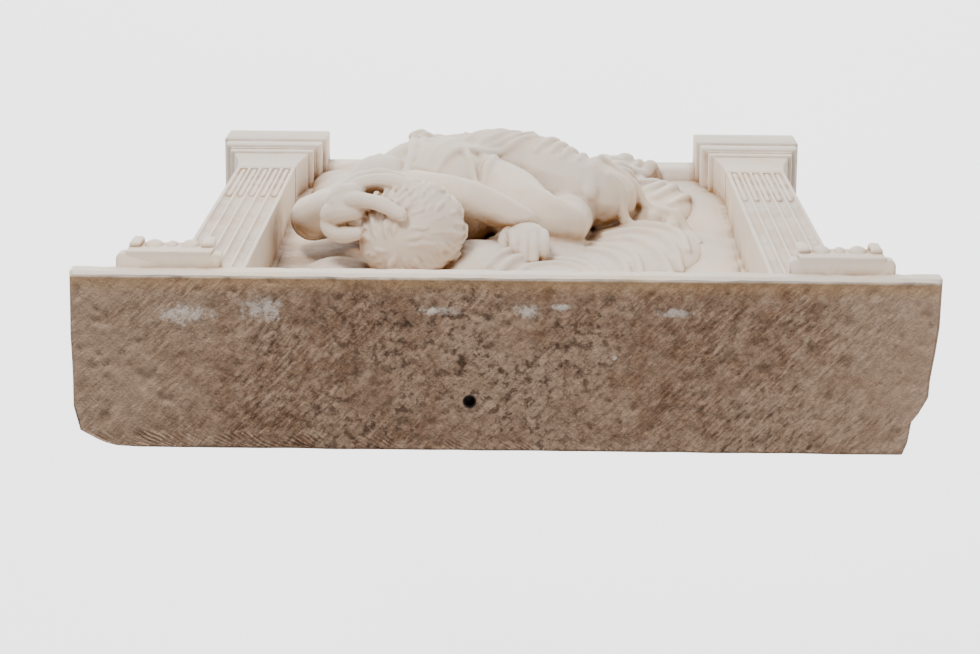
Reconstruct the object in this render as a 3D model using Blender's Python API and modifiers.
# A marble relief plaque carved from one block: two fluted pilasters with moulded feet and capitals carry
# a plain lintel, and a seated figure bows over a raised knee in the panel between them.
# Metres, +Z up. The back lies at y = 0 and the carving faces -Y: a level is a distance before the back.

import math

import bmesh
import bpy
from mathutils import Matrix, Vector

# The block
HEIGHT = 0.870
LINTEL_WIDTH = 0.600
LINTEL_HEIGHT = 0.019
LINTEL_LEVEL = 0.1255
LINTEL_EDGE = 0.0025  # its worn arrises
BODY_WIDTH = 0.568
MARGIN_LEVEL = 0.030  # the plain strip outside each pilaster
BACK_SKIN = 0.006  # what stays behind the panel where its ground is let in

# The sunk ground of the panel rises towards the foot and ends in a ledge
GROUND_LEVEL = 0.027
GROUND_FOOT_LEVEL = 0.046
GROUND_RISE_FROM = -0.060
LEDGE_LEVEL = 0.057
LEDGE_HEIGHT = 0.040
LEDGE_SLOPE = 0.004  # height of the slope on top of the ledge

# The pilasters
PILASTER_CENTRE = 0.2333
SHAFT_WIDTH = 0.0554
SHAFT_LEVEL = 0.074
BASE_HEIGHT = 0.145
PLINTH_HEIGHT = 0.050
PLINTH_SIDE = 0.0225  # how far the plinth stands out beyond the shaft at each side
PLINTH_FRONT = 0.0115  # and in front of it

# The flutes, with cables in their lower part
FLUTES = 5
FLUTE_PITCH = 0.0102
FLUTE_RADIUS = 0.0042
FLUTE_SETBACK = 0.0012  # how far the flute's axis lies in front of the shaft
FLUTE_FOOT_GAP = 0.008  # plain shaft between the base and the flutes
FLUTE_HEAD_GAP = 0.020
CABLE_RADIUS = 0.0034
CABLE_SINK = 0.0006  # the cable's crown below the shaft's face
CABLE_LENGTH = 0.138

# The capitals
CAPITAL_HEIGHT = 0.080
ABACUS_HEIGHT = 0.014
ABACUS_WIDTH = 0.0735
ABACUS_LEVEL = 0.1345
NECK_HEIGHT = 0.008  # the bead between shaft and bell
NECK_PROUD = 0.001
NECK_BEAD = 0.002
BELL_WIDTH = 0.0600
BELL_LEVEL = 0.120
ECHINUS_HEIGHT = 0.018
ECHINUS_LEVEL = 0.133
EGG_LEVEL = 0.140
EGG_WIDTH = 0.0150
EGG_HEIGHT = 0.0250
DART_WIDTH = 0.0076
DART_DROP = 0.0008  # how far the dart stays behind the eggs
VOLUTE_WIDTH = 0.0085
VOLUTE_GAP = 0.0018  # between a volute and the egg beside it
VOLUTE_DROP = 0.0150
VOLUTE_EDGE = 0.0024
ABACUS_EDGE = 0.004  # rounding of its front corners

# The two back corners of the top, one worn and one knocked off: (distance in from the side, level)
WORN_CORNER = ((0.045, 0.0005), (0.027, 0.0022), (0.0175, 0.0052), (0.005, 0.0116), (0.0005, 0.030))
LOST_CORNER = ((0.0225, 0.0005), (0.019, 0.0092), (0.0176, 0.0237), (0.006, 0.0413), (0.0005, 0.080))

BREAK_LEAN = 0.0015  # how much the breaks wander on their way down

# The dowel hole in the top
DOWEL_RADIUS = 0.0037
DOWEL_DEPTH = 0.013
DOWEL_X = 0.0238
DOWEL_LEVEL = 0.0358

# The figure is drawn 450 mm tall from crown to hem; its real height scales the whole of it
FIGURE_HEIGHT = 0.450
FIGURE_X = 0.0
FIGURE_Z = 0.0
FIGURE_BACK = 0.014  # where the figure is let into the block
VOXEL = 0.0026
FIGURE_TRIANGLES = 5600

TOP = HEIGHT / 2
FOOT = -HEIGHT / 2
LINTEL_UNDER = TOP - LINTEL_HEIGHT
SHAFT_FOOT = FOOT + BASE_HEIGHT
SHAFT_TOP = LINTEL_UNDER - CAPITAL_HEIGHT
PANEL_HALF = PILASTER_CENTRE - SHAFT_WIDTH / 2
OVERLAP = 0.004  # how far joined shapes run into each other
EMBED = BACK_SKIN / 2  # the level from which joined shapes start, inside the block
CLEAR = 0.02  # how far cutters reach past the block
UNIT = FIGURE_HEIGHT / 450  # one drawn millimetre of the figure

for thing in list(bpy.data.objects):
    bpy.data.objects.remove(thing, do_unlink=True)

parts = bpy.data.collections.new("relief_plaque_parts")
cutters = bpy.data.collections.new("cutters")
cutters.hide_render = True
for folder in (parts, cutters):
    bpy.context.scene.collection.children.link(folder)


def marble():
    material = bpy.data.materials.new("marble")
    material.use_nodes = True
    shader = material.node_tree.nodes["Principled BSDF"]
    shader.inputs["Base Color"].default_value = (0.78, 0.73, 0.68, 1.0)
    shader.inputs["Roughness"].default_value = 0.55
    shader.inputs["Metallic"].default_value = 0.0
    return material


def from_bmesh(name, bm, folder=cutters):
    bmesh.ops.recalc_face_normals(bm, faces=bm.faces)
    mesh = bpy.data.meshes.new(name)
    bm.to_mesh(mesh)
    bm.free()
    obj = bpy.data.objects.new(name, mesh)
    folder.objects.link(obj)
    obj.display_type = "WIRE"
    obj.hide_render = True
    return obj


def evaluated_copy(obj):
    graph = bpy.context.evaluated_depsgraph_get()
    graph.update()
    mesh = bpy.data.meshes.new_from_object(obj.evaluated_get(graph))
    mesh.transform(obj.matrix_world)
    return mesh


def settle(obj):
    # Writes the modifiers into the mesh.
    mesh = evaluated_copy(obj)
    obj.modifiers.clear()
    obj.data = mesh
    obj.matrix_world = Matrix.Identity(4)
    return obj


def combine(target, tool, operation):
    step = target.modifiers.new(operation.lower(), "BOOLEAN")
    step.operation = operation
    step.solver = "EXACT"
    step.object = tool
    settle(target)
    bpy.data.objects.remove(tool, do_unlink=True)
    return target


def outer_skin(obj):
    # Fills the pockets that are closed off inside a solid, by keeping its largest skin alone.
    bm = bmesh.new()
    bm.from_mesh(obj.data)
    skins = []
    waiting = set(bm.verts)
    while waiting:
        skin = set()
        edge = [waiting.pop()]
        while edge:
            vert = edge.pop()
            skin.add(vert)
            for link in vert.link_edges:
                other = link.other_vert(vert)
                if other in waiting:
                    waiting.remove(other)
                    edge.append(other)
        skins.append(skin)
    skins.sort(key=len)
    pockets = [vert for skin in skins[:-1] for vert in skin]
    bmesh.ops.delete(bm, geom=pockets, context="VERTS")
    bm.to_mesh(obj.data)
    bm.free()
    return obj


def box(name, x0, x1, level0, level1, z0, z1):
    bm = bmesh.new()
    bmesh.ops.create_cube(bm, size=1.0)
    size = Vector((x1 - x0, level1 - level0, z1 - z0))
    middle = Vector(((x0 + x1) / 2, -(level0 + level1) / 2, (z0 + z1) / 2))
    bmesh.ops.scale(bm, vec=size, verts=bm.verts)
    bmesh.ops.translate(bm, vec=middle, verts=bm.verts)
    return from_bmesh(name, bm)


def rounded(obj, width, segments=2, only_near=None):
    # Rounds the edges, or only those whose middle a test accepts.
    bm = bmesh.new()
    bm.from_mesh(obj.data)
    edges = [e for e in bm.edges if only_near is None or only_near((e.verts[0].co + e.verts[1].co) / 2)]
    bmesh.ops.bevel(bm, geom=edges, offset=width, segments=segments, profile=0.5, affect="EDGES")
    bm.to_mesh(obj.data)
    bm.free()
    return obj


def ball(name, x, z, level, radii, turn=None, rings=10):
    bm = bmesh.new()
    bmesh.ops.create_uvsphere(bm, u_segments=2 * rings, v_segments=rings, radius=1.0)
    matrix = Matrix.Translation((x, -level, z))
    if turn:
        matrix = matrix @ turn.to_4x4()
    matrix = matrix @ Matrix.Diagonal((radii[0], radii[1], radii[2], 1.0))
    bm.transform(matrix)
    return from_bmesh(name, bm)


def rod(name, x, level, z0, z1, radius, sides=8, dome=2):
    # A bar along z with domed ends, spun from its outline.
    bm = bmesh.new()
    outline = []
    for i in range(dome + 1):
        a = math.pi / 2 * i / dome
        outline.append((radius * math.sin(a), z0 + radius - radius * math.cos(a)))
    for i in range(dome + 1):
        a = math.pi / 2 * i / dome
        outline.append((radius * math.cos(a), z1 - radius + radius * math.sin(a)))
    verts = [bm.verts.new((x + r, -level, z)) for r, z in outline]
    edges = [bm.edges.new(pair) for pair in zip(verts, verts[1:])]
    turn = 2 * math.pi
    bmesh.ops.spin(bm, geom=verts + edges, cent=(x, -level, 0), axis=(0, 0, 1), angle=turn, steps=sides)
    bmesh.ops.remove_doubles(bm, verts=bm.verts, dist=1e-5)
    return from_bmesh(name, bm)


def stack(name, x, outline):
    # A block whose half width and front level change with z: (z, half width, level) points.
    bm = bmesh.new()
    rings = []
    for z, half, level in outline:
        corners = ((x - half, -EMBED), (x + half, -EMBED), (x + half, -level), (x - half, -level))
        rings.append([bm.verts.new((cx, cy, z)) for cx, cy in corners])
    for low, high in zip(rings, rings[1:]):
        for i in range(4):
            j = (i + 1) % 4
            bm.faces.new((low[i], low[j], high[j], high[i]))
    bm.faces.new(rings[0])
    bm.faces.new(rings[-1])
    return from_bmesh(name, bm)


def base_outline():
    # Plinth, torus, fillet, small torus, fillet and hollow, as shares of the height and projection.
    half = SHAFT_WIDTH / 2
    top = FOOT + PLINTH_HEIGHT
    rise = BASE_HEIGHT - PLINTH_HEIGHT
    steps = [(FOOT, 1.0), (top, 1.0)]
    for low, high, inner, bulge in ((0.02, 0.26, 0.74, 0.14), (0.33, 0.46, 0.48, 0.10)):
        for i in range(5):
            a = math.pi * i / 4
            share = (low + high) / 2 - (high - low) / 2 * math.cos(a)
            steps.append((top + share * rise, inner + bulge * math.sin(a)))
        steps.append((top + (high + 0.01) * rise, inner - 0.12))
        steps.append((top + (high + 0.06) * rise, inner - 0.12))
    for i in range(5):
        share = i / 4
        steps.append((top + (0.53 + 0.40 * share) * rise, 0.32 * (1 - share) ** 2 + 0.02))
    steps.append((SHAFT_FOOT + OVERLAP, 0.02))
    return [(z, half + share * PLINTH_SIDE, SHAFT_LEVEL + share * PLINTH_FRONT) for z, share in steps]


def bell_outline():
    # The capital flares in a hollow curve from the shaft up to the abacus.
    neck = SHAFT_WIDTH / 2 + NECK_PROUD
    steps = [(SHAFT_TOP - NECK_HEIGHT / 2, neck, SHAFT_LEVEL + NECK_PROUD)]
    for i in range(3):
        bead = NECK_BEAD * math.sin(math.pi * i / 2)
        z = SHAFT_TOP + NECK_HEIGHT * i / 2
        steps.append((z, neck + bead, SHAFT_LEVEL + NECK_PROUD + 2 * bead))
    rise = CAPITAL_HEIGHT - ABACUS_HEIGHT - NECK_HEIGHT - OVERLAP
    for i in range(1, 7):
        a = math.pi / 2 * i / 6
        flare = 1 - math.cos(a)
        half = neck + flare * (BELL_WIDTH / 2 - neck)
        level = SHAFT_LEVEL + NECK_PROUD + flare * (BELL_LEVEL - SHAFT_LEVEL)
        steps.append((SHAFT_TOP + NECK_HEIGHT + rise * math.sin(a), half, level))
    z, half, level = steps[-1]
    steps.append((LINTEL_UNDER - ABACUS_HEIGHT + OVERLAP, half, level))
    return steps


def pilaster(side):
    x = side * PILASTER_CENTRE
    half = SHAFT_WIDTH / 2
    body = box("shaft", x - half, x + half, EMBED, SHAFT_LEVEL, FOOT + OVERLAP, LINTEL_UNDER - OVERLAP)
    flute_foot = SHAFT_FOOT + FLUTE_FOOT_GAP
    flute_level = SHAFT_LEVEL + FLUTE_SETBACK
    flute_head = SHAFT_TOP - FLUTE_HEAD_GAP
    cable_level = SHAFT_LEVEL - CABLE_SINK - CABLE_RADIUS
    for i in range(FLUTES):
        fx = x + (i - (FLUTES - 1) / 2) * FLUTE_PITCH
        flute = rod("flute", fx, flute_level, flute_foot, flute_head, FLUTE_RADIUS)
        combine(body, flute, "DIFFERENCE")
        cable_top = flute_foot + CABLE_LENGTH
        cable = rod("cable", fx, cable_level, flute_foot - CABLE_SINK, cable_top, CABLE_RADIUS)
        combine(body, cable, "UNION")
    combine(body, stack("base", x, base_outline()), "UNION")
    combine(body, stack("bell", x, bell_outline()), "UNION")
    return capital(body, x)


def capital(body, x):
    # The abacus, and under it a row of two eggs with a dart between two volutes.
    under = LINTEL_UNDER - ABACUS_HEIGHT
    half = ABACUS_WIDTH / 2
    abacus = box("abacus", x - half, x + half, EMBED, ABACUS_LEVEL, under, LINTEL_UNDER + OVERLAP)
    corner = 0.99 * half
    rounded(abacus, ABACUS_EDGE, 2, lambda m: m.y < -0.99 * ABACUS_LEVEL and abs(m.x - x) > corner)
    combine(body, abacus, "UNION")
    row_z = under - ECHINUS_HEIGHT / 2
    half = BELL_WIDTH / 2
    foot = under - ECHINUS_HEIGHT
    echinus = box("echinus", x - half, x + half, SHAFT_LEVEL, ECHINUS_LEVEL, foot, LINTEL_UNDER)
    combine(body, echinus, "UNION")
    egg_step = (DART_WIDTH + EGG_WIDTH) / 2
    volute_step = egg_step + (EGG_WIDTH + VOLUTE_WIDTH) / 2 + VOLUTE_GAP
    deep = EGG_WIDTH / 2
    for side in (-1, 1):
        egg_x = x + side * egg_step
        egg = ball("egg", egg_x, row_z, EGG_LEVEL - deep, (deep, deep, EGG_HEIGHT / 2), rings=6)
        combine(body, egg, "UNION")
        low = x + side * volute_step - VOLUTE_WIDTH / 2
        foot = row_z - VOLUTE_DROP
        volute = box("volute", low, low + VOLUTE_WIDTH, SHAFT_LEVEL, EGG_LEVEL, foot, under)
        combine(body, rounded(volute, VOLUTE_EDGE, 2), "UNION")
    deep = DART_WIDTH / 2
    dart = ball("dart", x, row_z, EGG_LEVEL - DART_DROP - deep, (deep, deep, ECHINUS_HEIGHT / 2), rings=6)
    return combine(body, dart, "UNION")


def panel():
    # The ground's side view, filled and given the panel's width.
    curve = bpy.data.curves.new("ground", "CURVE")
    curve.dimensions = "2D"
    curve.fill_mode = "BOTH"
    curve.extrude = PANEL_HALF + OVERLAP
    ledge_top = FOOT + LEDGE_HEIGHT
    slope_foot = ledge_top + LEDGE_SLOPE
    outline = [(EMBED, FOOT), (LEDGE_LEVEL, FOOT), (LEDGE_LEVEL, ledge_top), (GROUND_FOOT_LEVEL, slope_foot)]
    steps = 6
    for i in range(1, steps + 1):
        share = i / steps
        ease = (share + share * share * (3 - 2 * share)) / 2
        level = GROUND_FOOT_LEVEL + (GROUND_LEVEL - GROUND_FOOT_LEVEL) * ease
        outline.append((level, slope_foot + (GROUND_RISE_FROM - slope_foot) * share))
    outline += [(GROUND_LEVEL, LINTEL_UNDER + OVERLAP), (EMBED, LINTEL_UNDER + OVERLAP)]
    spline = curve.splines.new("POLY")
    spline.points.add(len(outline) - 1)
    for point, (level, z) in zip(spline.points, outline):
        point.co = (level, z, 0, 1)
    spline.use_cyclic_u = True
    obj = bpy.data.objects.new("ground", curve)
    cutters.objects.link(obj)
    # The curve's x becomes -Y, its y becomes Z and its own depth runs along X.
    obj.matrix_world = Matrix(((0, 0, 1, 0), (-1, 0, 0, 0), (0, 1, 0, 0), (0, 0, 0, 1)))
    mesh = evaluated_copy(obj)
    bpy.data.objects.remove(obj, do_unlink=True)
    bm = bmesh.new()
    bm.from_mesh(mesh)
    bmesh.ops.remove_doubles(bm, verts=bm.verts, dist=1e-5)
    return from_bmesh("ground", bm)


def broken_corner(name, side, cuts):
    # A wedge knocked off a back corner of the top: cuts holds (distance in from the side, level) points.
    outline = [(cuts[0][0], -CLEAR), *cuts, (-CLEAR, cuts[-1][1]), (-CLEAR, -CLEAR)]
    bm = bmesh.new()
    low = []
    high = []
    for i, (inset, level) in enumerate(outline):
        lean = BREAK_LEAN * math.sin(2.3 * i)
        x = side * (LINTEL_WIDTH / 2 - inset)
        low.append(bm.verts.new((x + lean, -level, LINTEL_UNDER - CLEAR)))
        high.append(bm.verts.new((x, -level, TOP + CLEAR)))
    bm.faces.new(low)
    bm.faces.new(high)
    for i in range(len(low)):
        j = (i + 1) % len(low)
        bm.faces.new((low[i], low[j], high[j], high[i]))
    return from_bmesh(name, bm)


def at(x, z, level):
    # A point of the figure, drawn in millimetres from the block's centre, at the figure's real size.
    return Vector((FIGURE_X + x * UNIT, -level * UNIT, FIGURE_Z + z * UNIT))


def lump(name, x, z, level, radii, turn=None, rings=12):
    # An egg-shaped mass of the figure; radii run across, out and up.
    place = at(x, z, level)
    sizes = [UNIT * r for r in radii]
    return ball(name, place.x, place.z, -place.y, sizes, turn, rings)


def limb(name, points, turns=4):
    # A tapering round form through (x, z, level, radius) points, with round ends.
    curve = bpy.data.curves.new(name, "CURVE")
    curve.dimensions = "3D"
    curve.bevel_depth = 1.0
    curve.bevel_resolution = 3
    curve.resolution_u = turns
    curve.use_fill_caps = True
    spline = curve.splines.new("BEZIER")
    spline.bezier_points.add(len(points) - 1)
    for knot, (x, z, level, radius) in zip(spline.bezier_points, points):
        knot.co = at(x, z, level)
        knot.radius = radius * UNIT
        knot.handle_left_type = "AUTO"
        knot.handle_right_type = "AUTO"
    obj = bpy.data.objects.new(name, curve)
    cutters.objects.link(obj)
    mesh = evaluated_copy(obj)
    bpy.data.objects.remove(obj, do_unlink=True)
    bm = bmesh.new()
    bm.from_mesh(mesh)
    bmesh.ops.remove_doubles(bm, verts=bm.verts, dist=1e-5)
    for x, z, level, radius in (points[0], points[-1]):
        matrix = Matrix.Translation(at(x, z, level)) @ Matrix.Scale(radius * UNIT, 4)
        bmesh.ops.create_uvsphere(bm, u_segments=12, v_segments=8, radius=1.0, matrix=matrix)
    return from_bmesh(name, bm)


# The head, in its own directions: it faces right and into the block, bowed
HEAD = (83, 5, 70)
HEAD_FRONT = Vector((0.80, 0.52, -0.28)).normalized()
HEAD_SIDE = HEAD_FRONT.cross(Vector((-0.10, -0.12, 1.0))).normalized()
HEAD_UP = HEAD_SIDE.cross(HEAD_FRONT).normalized()


def on_head(front, up, side):
    # A figure point from distances along the head's own directions.
    step = HEAD_FRONT * front + HEAD_UP * up + HEAD_SIDE * side
    return HEAD[0] + step.x, HEAD[1] + step.z, HEAD[2] - step.y


def head_lump(name, front, up, side, radii):
    turn = Matrix((HEAD_SIDE, HEAD_FRONT, HEAD_UP)).transposed()
    x, z, level = on_head(front, up, side)
    return lump(name, x, z, level, radii, turn, 10)


def head_limb(name, points):
    return limb(name, [(*on_head(front, up, side), radius) for front, up, side, radius in points])


def head():
    made = [
        head_lump("skull", -4, 4, 0, (41, 46, 47)),
        head_lump("forehead", 12, 4, 0, (31, 33, 36)),
        head_lump("cheeks", 14, -22, 0, (27, 26, 30)),
        head_lump("jaw", 20, -42, 0, (19, 20, 17)),
        head_lump("chin", 35, -52, 0, (9, 8, 8)),
        head_limb("nose", [(44, -4, 0, 3.4), (50, -14, 0, 3.8), (53, -23, 0, 5.0)]),
        head_lump("upper_lip", 43, -33, 0, (10, 4.5, 3.4)),
        head_lump("lower_lip", 42, -40, 0, (8.5, 4.5, 3.4)),
    ]
    for side in (-1, 1):
        brow = [(43, 2, 5 * side, 3.2), (40, 4, 15 * side, 3.4), (31, 1, 25 * side, 3.2)]
        made.append(head_limb("brow", brow))
        made.append(head_lump("eyelid", 36.5, -8, 14 * side, (8.5, 6, 5)))
        made.append(head_lump("ear", -6, -12, 37 * side, (5, 8, 12)))
    # Tousled locks, each a short curl lying over the skull
    rows = ((20, 6, 0.2), (52, 9, 1.1), (84, 11, 0.5), (116, 9, 1.4))
    for turned, count, offset in rows:
        tip = math.radians(turned)
        for i in range(count):
            a = offset + 2 * math.pi * i / count
            out = 44 * math.sin(tip)
            front, side, up = out * math.cos(a) - 4, 0.90 * out * math.sin(a), 45 * math.cos(tip) + 4
            if front > 26 and up < 30:
                continue
            bend = 0.42 if i % 2 else -0.38
            far = math.radians(turned + 27)
            wide = 44 * math.sin(far)
            a += bend
            end = (wide * math.cos(a) - 4, 45 * math.cos(far) + 4, 0.90 * wide * math.sin(a))
            middle = [(p + q) / 2 * 1.03 for p, q in zip((front, up, side), end)]
            made.append(head_limb("lock", [(front, up, side, 5.5), (*middle, 7), (*end, 4.5)]))
    return made


def hands():
    made = [
        limb("right_palm", [(144, 0, 93, 12.5), (137, 8, 99, 13.5), (131, 10, 102, 11)]),
        limb("heel_of_palm", [(148, 6, 84, 12), (138, 18, 90, 11), (128, 24, 92, 9)]),
        limb("finger", [(140, -14, 96, 7), (131, -32, 101, 6.5), (116, -42, 102, 6), (102, -46, 98, 5)]),
        limb("finger", [(141, -6, 100, 7.5), (128, -20, 110, 7), (113, -28, 113, 6.5), (96, -32, 109, 6)]),
        limb("finger", [(138, 8, 100, 8), (126, 8, 108, 7), (103, 14, 112, 6.5), (77, 30, 107, 6)]),
        limb("finger", [(135, 18, 96, 8), (127, 28, 101, 7), (108, 42, 101, 6.5), (89, 52, 94, 6)]),
        limb("thumb", [(150, -4, 84, 9), (150, 10, 74, 8.5), (139, 20, 70, 7.5), (128, 26, 73, 6.5)]),
        lump("left_palm", -16, -32, 62, (16, 10, 19)),
        limb("left_thumb", [(-4, -40, 62, 6.5), (3, -26, 56, 5.5), (3, -14, 50, 5)]),
    ]
    for i in range(4):
        x = -5 - 8 * i
        reach = (0, 5, 4, -4)[i]
        made.append(limb("left_finger", [(x, -22, 62, 5.6), (x - 1, -9, 59, 5.4), (x - 1, reach, 46, 4.6)]))
    return made


def flesh():
    # The bare and thinly covered body, whose forms run softly into each other.
    return [
        limb("neck", [(82, -34, 70, 23), (86, -70, 74, 26), (92, -105, 70, 32)]),
        limb("right_upper_arm", [(112, -158, 74, 33), (142, -138, 66, 25), (174, -106, 60, 21)]),
        limb("right_forearm",
             [(174, -106, 60, 21), (172, -78, 66, 20), (156, -36, 82, 17), (143, 2, 94, 12)]),
        limb("left_upper_arm", [(84, -92, 80, 27), (60, -62, 89, 20), (34, -52, 88, 17.5)]),
        limb("left_forearm", [(34, -52, 88, 17.5), (8, -48, 79, 15), (-12, -46, 71, 12.5)]),
        lump("upper_back", 92, -130, 60, (56, 40, 50)),
        lump("bare_shoulder", 116, -152, 76, (34, 34, 38)),
        lump("back", 96, -200, 56, (50, 42, 66)),
        lump("breast", 56, -140, 62, (46, 38, 58)),
        lump("hips", 84, -268, 52, (62, 39, 62)),
        limb("far_thigh", [(34, -190, 70, 38), (2, -140, 70, 33), (-28, -84, 65, 26), (-50, -88, 60, 20)]),
        limb("far_shin",
             [(-50, -92, 58, 20), (-54, -180, 50, 24), (-54, -290, 48, 20), (-58, -345, 46, 17)]),
        limb("left_foot", [(-92, -370, 58, 15), (-112, -378, 58, 12), (-134, -383, 55, 9)]),
    ]


def cloak():
    # The garment ends in a straight edge where the bare shoulder begins.
    piece = lump("cloak", 62, -165, 72, (46, 47, 72), rings=14)
    bm = bmesh.new()
    bm.from_mesh(piece.data)
    cut = bmesh.ops.bisect_plane(
        bm,
        geom=bm.verts[:] + bm.edges[:] + bm.faces[:],
        plane_co=at(90, -150, 0),
        plane_no=(1, 0.10, 0.12),
        clear_outer=True,
    )
    rim = [e for e in cut["geom_cut"] if isinstance(e, bmesh.types.BMEdge)]
    bmesh.ops.holes_fill(bm, edges=rim)
    bmesh.ops.recalc_face_normals(bm, faces=bm.faces)
    bm.to_mesh(piece.data)
    bm.free()
    return piece


def drapery():
    made = [
        cloak(),
        limb("hem", [(92, -96, 86, 6), (87, -140, 102, 5), (87, -190, 107, 5), (87, -240, 106, 5)]),
        limb("thigh", [(86, -200, 74, 41), (50, -222, 76, 42), (8, -238, 76, 42), (-20, -238, 75, 41)]),
        limb("knee", [(-20, -238, 75, 41), (-52, -205, 71, 34), (-76, -196, 67, 31), (-92, -212, 62, 26)]),
        limb("cuff", [(-72, -166, 74, 8), (-76, -188, 91, 8), (-81, -214, 92, 8), (-86, -240, 78, 8)]),
        limb("draped_shin", [(-92, -212, 60, 26), (-96, -280, 56, 24), (-98, -352, 54, 19)]),
        limb("strap", [(52, -176, 100, 5), (40, -150, 101, 5), (30, -112, 96, 5)]),
        limb("band", [(14, -172, 99, 5), (21, -140, 99, 5), (26, -108, 94, 5)]),
    ]
    # The rock that the figure sits on
    for x, z, level, radii in (
        (130, -384, 34, (62, 32, 44)),
        (168, -362, 28, (40, 30, 40)),
        (150, -326, 30, (48, 32, 44)),
        (178, -300, 24, (30, 22, 38)),
    ):
        made.append(lump("rock", x, z, level, radii))
    # The boulder behind the figure at the left, under the mantle
    for x, z, level, radii in (
        (-120, -150, 24, (58, 18, 122)),
        (-128, -292, 34, (48, 24, 96)),
        (-62, -70, 22, (74, 19, 96)),
        (-34, 8, 20, (64, 19, 70)),
    ):
        made.append(lump("boulder", x, z, level, radii))
    # The skirt hangs in broad flutes with narrower folds over them, fanning out to the hem
    for i in range(5):
        points = [(84 - 38 * i, -244, 52, 30), (90 - 44 * i, -312, 47, 29), (104 - 55 * i, -386, 42, 26)]
        made.append(limb("skirt", points))
    folds = 9
    for i in range(folds):
        share = i / (folds - 1)
        top_x = 98 - 178 * share
        foot_x = 126 - 256 * share
        swing = 6 * math.sin(2.4 * i)
        points = [
            (top_x, -240 - 8 * math.sin(3 * share), 90 - 12 * share, 6),
            (top_x + 2 * swing, -284, 80 - 8 * share, 7 + 1.5 * (i % 3)),
            ((top_x + foot_x) / 2 + swing, -334, 71 - 4 * share, 8.5),
            (foot_x, -388, 61 - 4 * share, 8 + 2 * (i % 2)),
        ]
        made.append(limb("skirt_fold", points))
    # The garment's own folds over the back and the draped thigh
    for points in (
        [(82, -120, 100, 5), (66, -160, 109, 5), (38, -214, 112, 5), (2, -262, 104, 6)],
        [(68, -112, 102, 4), (52, -150, 112, 5), (22, -204, 112, 4)],
        [(84, -206, 106, 5), (66, -238, 108, 5), (34, -268, 100, 6)],
        [(-30, -214, 109, 4), (-44, -238, 103, 5), (-50, -268, 88, 6)],
        [(104, -236, 82, 7), (102, -280, 84, 7), (86, -320, 78, 8)],
        [(128, -240, 64, 7), (130, -292, 70, 8), (122, -346, 68, 8)],
    ):
        made.append(limb("garment_fold", points))
    # Peaks of cloth beyond the far knee
    for x, z, level, lean in ((-122, -312, 60, 12), (-140, -270, 54, 8), (-155, -252, 48, 6)):
        points = [(x + lean, z + 62, level - 12, 8), (x, z, level - 7, 9), (x - 4, z - 66, level - 11, 8)]
        made.append(limb("peak", points))
    # Long curved folds of the mantle over the boulder
    for points in (
        [(-82, -196, 40, 7), (-122, -214, 40, 7), (-160, -210, 34, 6), (-168, -160, 28, 6)],
        [(-98, -146, 39, 7), (-126, -140, 40, 7), (-138, -96, 37, 7), (-142, 0, 27, 7)],
        [(-88, -100, 40, 6), (-110, -84, 40, 6), (-118, -40, 34, 6), (-112, 20, 25, 6)],
        [(-176, -186, 27, 6), (-164, -120, 30, 6), (-150, -40, 26, 6)],
        [(16, 34, 33, 6), (-10, -18, 37, 6), (-44, -32, 38, 6), (-76, -20, 37, 6), (-84, 30, 29, 6)],
        [(156, -50, 28, 7), (158, -8, 27, 7), (152, 30, 24, 6)],
    ):
        made.append(limb("mantle_fold", points))
    return made


def fused(name, pieces, voxel, smoothing):
    # Many closed masses made one skin.
    bm = bmesh.new()
    for piece in pieces:
        bm.from_mesh(piece.data)
        bpy.data.objects.remove(piece, do_unlink=True)
    whole = from_bmesh(name, bm)
    skin = whole.modifiers.new("skin", "REMESH")
    skin.mode = "VOXEL"
    skin.voxel_size = voxel
    soften = whole.modifiers.new("soften", "SMOOTH")
    soften.factor = 0.5
    soften.iterations = smoothing
    return settle(whole)


def figure():
    soft = fused("flesh", flesh(), VOXEL, 8)
    whole = fused("figure", [soft] + head() + hands() + drapery(), VOXEL, 3)
    fewer = whole.modifiers.new("fewer", "DECIMATE")
    fewer.ratio = min(1.0, FIGURE_TRIANGLES / (2 * len(whole.data.polygons)))
    settle(whole)
    reach = FIGURE_HEIGHT
    back = box("back", -reach, reach, -reach, FIGURE_BACK, -reach, reach)
    return combine(whole, back, "DIFFERENCE")


def plaque():
    half = BODY_WIDTH / 2
    block = box("block", -half, half, 0, MARGIN_LEVEL, FOOT, TOP - OVERLAP)
    inner = PANEL_HALF - OVERLAP
    sink = box("sink", -inner, inner, BACK_SKIN, MARGIN_LEVEL + CLEAR, FOOT - CLEAR, LINTEL_UNDER)
    combine(block, sink, "DIFFERENCE")
    combine(block, panel(), "UNION")
    half = LINTEL_WIDTH / 2
    lintel = box("lintel", -half, half, 0, LINTEL_LEVEL, LINTEL_UNDER, TOP)
    combine(block, rounded(lintel, LINTEL_EDGE, 2, lambda m: m.y < -0.99 * LINTEL_LEVEL), "UNION")
    combine(block, broken_corner("worn_corner", 1, WORN_CORNER), "DIFFERENCE")
    combine(block, broken_corner("lost_corner", -1, LOST_CORNER), "DIFFERENCE")
    hole = rod("dowel_hole", DOWEL_X, DOWEL_LEVEL, TOP - DOWEL_DEPTH, TOP + DOWEL_DEPTH, DOWEL_RADIUS, 12)
    combine(block, hole, "DIFFERENCE")
    for side in (-1, 1):
        combine(block, pilaster(side), "UNION")
    return outer_skin(combine(block, figure(), "UNION"))


relief = plaque()
relief.name = "relief_plaque"
relief.data.name = "relief_plaque"
relief.data.materials.clear()
relief.data.materials.append(marble())
cutters.objects.unlink(relief)
parts.objects.link(relief)
relief.hide_render = False
relief.display_type = "TEXTURED"
relief.data.shade_smooth()
relief.data.set_sharp_from_angle(angle=math.radians(40))
